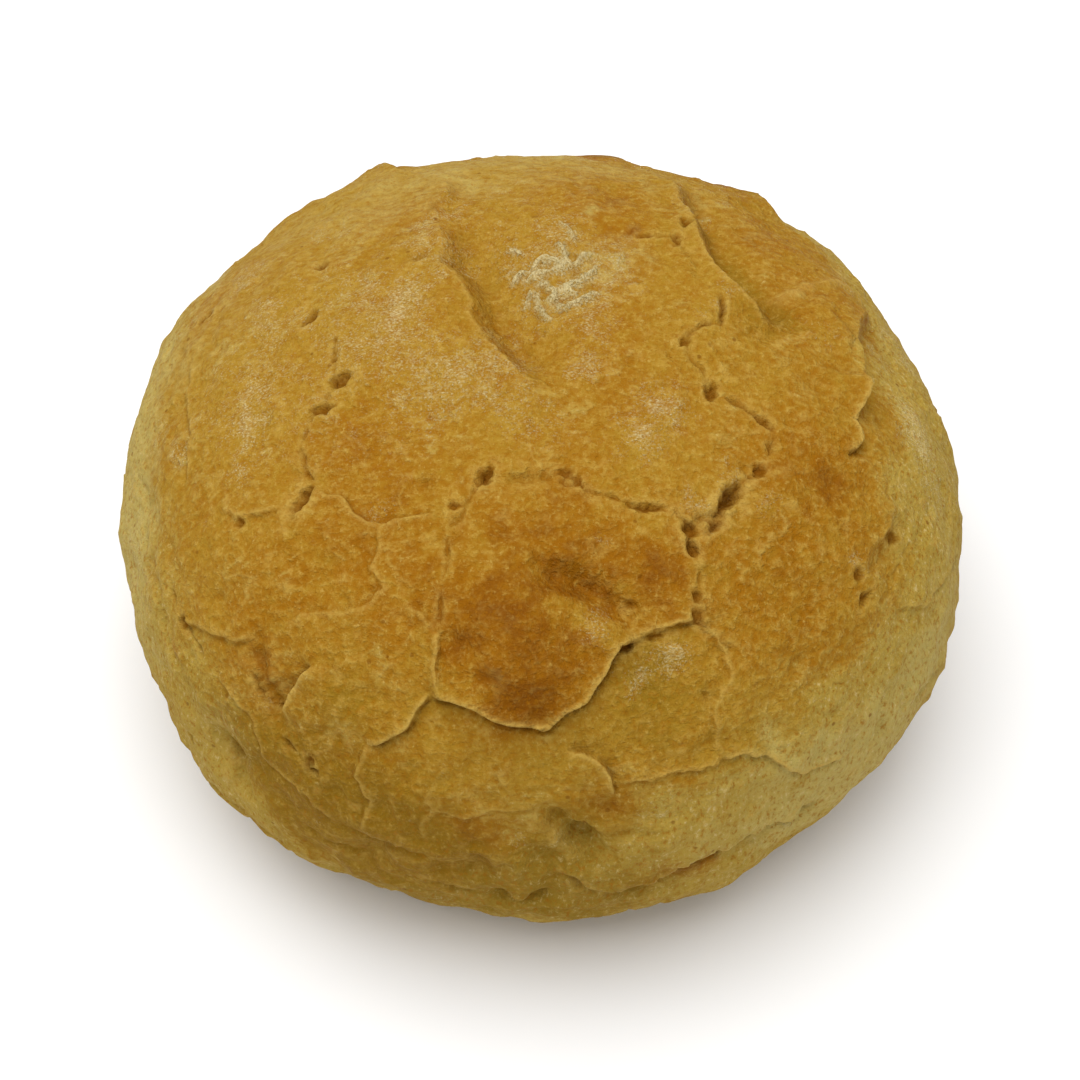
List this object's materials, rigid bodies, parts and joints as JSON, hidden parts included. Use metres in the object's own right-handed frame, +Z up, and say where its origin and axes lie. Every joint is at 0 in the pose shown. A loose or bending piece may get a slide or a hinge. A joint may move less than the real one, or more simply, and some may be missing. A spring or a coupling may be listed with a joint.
{
  "type": "bread roll",
  "caption": "Round crusty bread roll: a low dome with a torn, floury top crust and a small flat underside that it rests on.",
  "frame": {"origin": "on the table, under the middle of the roll's box", "axes": "+Z up through the crown, -Y towards the front with the deep fold, +X to the right seen from the front"},
  "size_m": [0.1074, 0.1076, 0.0619],
  "materials": {
    "crust": "matte golden-brown baked crust, floured along its folds"
  },
  "bodies": {
    "root": {"bread_roll": "crust"}
  },
  "joints": []
}
